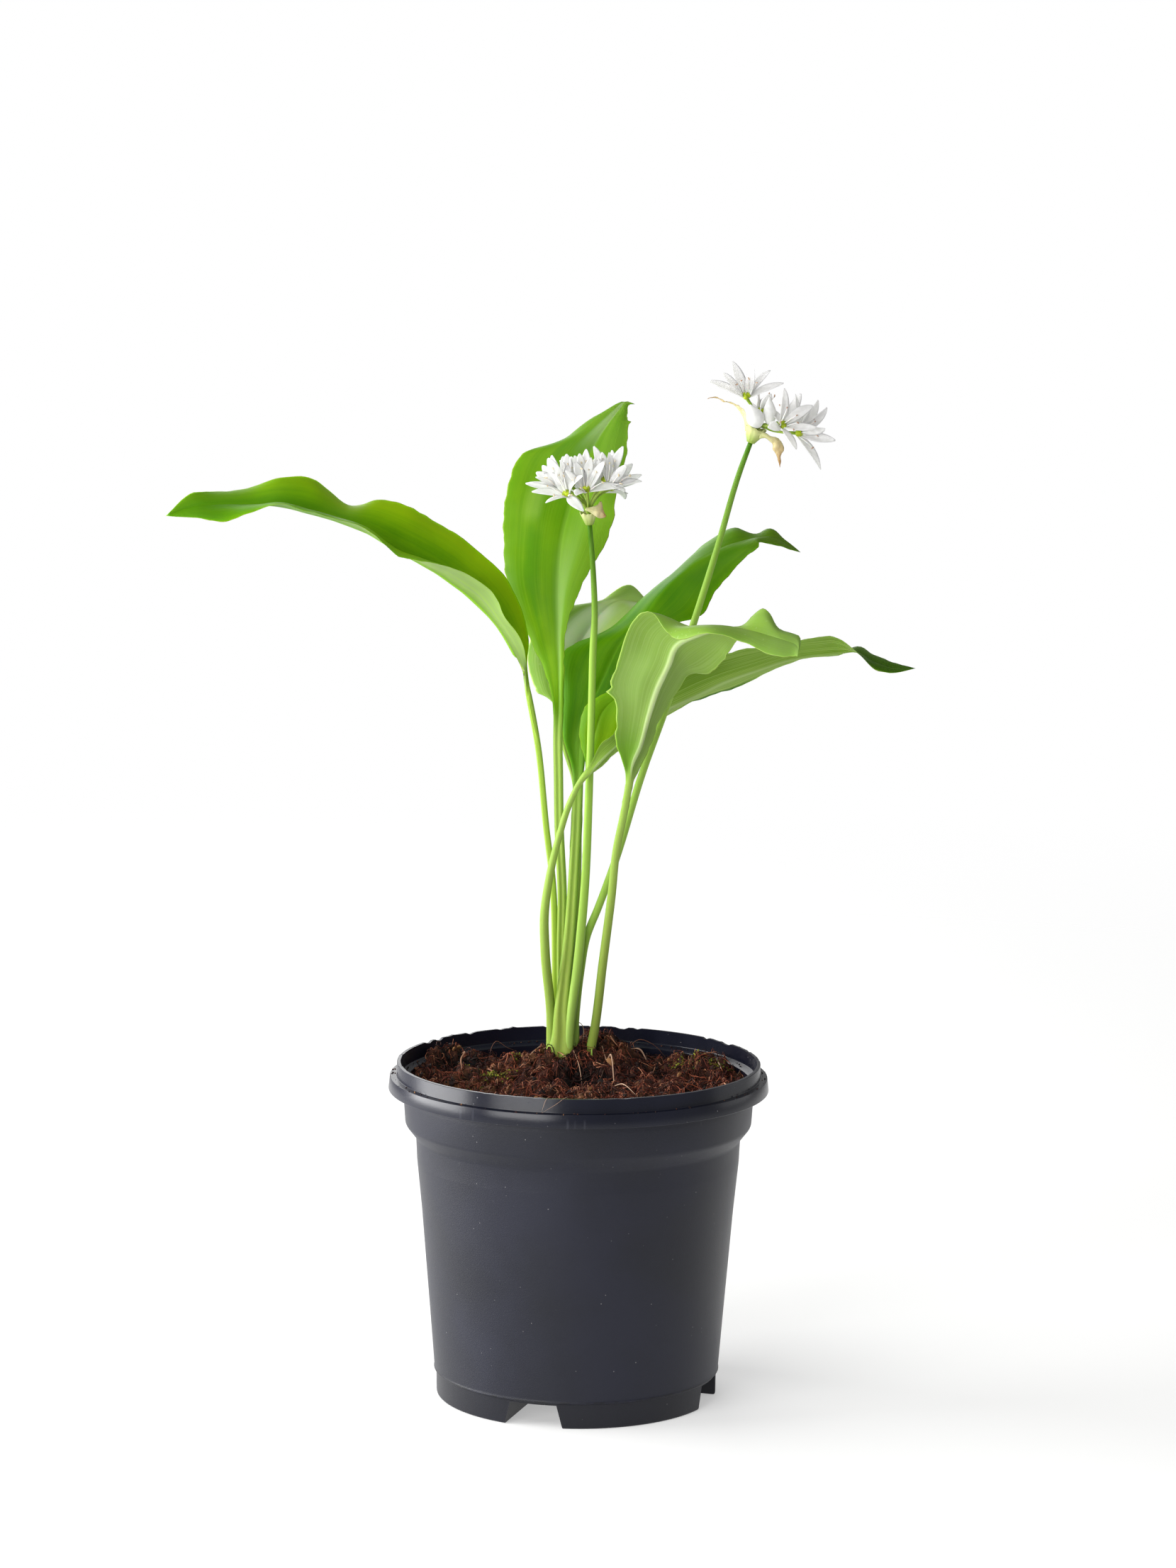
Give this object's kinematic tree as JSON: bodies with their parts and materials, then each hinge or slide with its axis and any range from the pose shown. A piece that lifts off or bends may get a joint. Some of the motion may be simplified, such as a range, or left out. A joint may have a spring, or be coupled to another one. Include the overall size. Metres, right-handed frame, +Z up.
{
  "type": "potted wild garlic",
  "caption": "Flowering wild garlic in a round dark plastic nursery pot, with broad pointed leaves and white starry flower heads.",
  "frame": {"origin": "middle of the pot's underside, on the surface that it stands on", "axes": "+Z up along the pot's axis, -Y towards the side from which the plant is seen in the picture, +X to the right from there"},
  "size_m": [0.253, 0.13, 0.3536],
  "materials": {
    "pot_plastic": "satin",
    "potting_soil": "matte",
    "leaf_green": "satin",
    "leaf_dark": "satin",
    "leaf_pale": "satin",
    "stalk_green": "satin",
    "tepal_white": "matte",
    "spathe_papery": "matte"
  },
  "bodies": {
    "root": {"pot": "pot_plastic", "soil": "potting_soil", "leaf_left_arching": "leaf_green", "leaf_tall_back": "leaf_green", "leaf_dark_right": "leaf_dark", "leaf_small_inner": "leaf_green", "leaf_long_right": "leaf_pale", "leaf_pale_front": "leaf_pale", "leaf_pale_back": "leaf_pale", "scape_1": "stalk_green", "flower_head_1": "tepal_white", "spathe_1": "spathe_papery", "scape_2": "stalk_green", "flower_head_2": "tepal_white", "spathe_2": "spathe_papery", "new_shoot": "leaf_pale"}
  },
  "joints": []
}
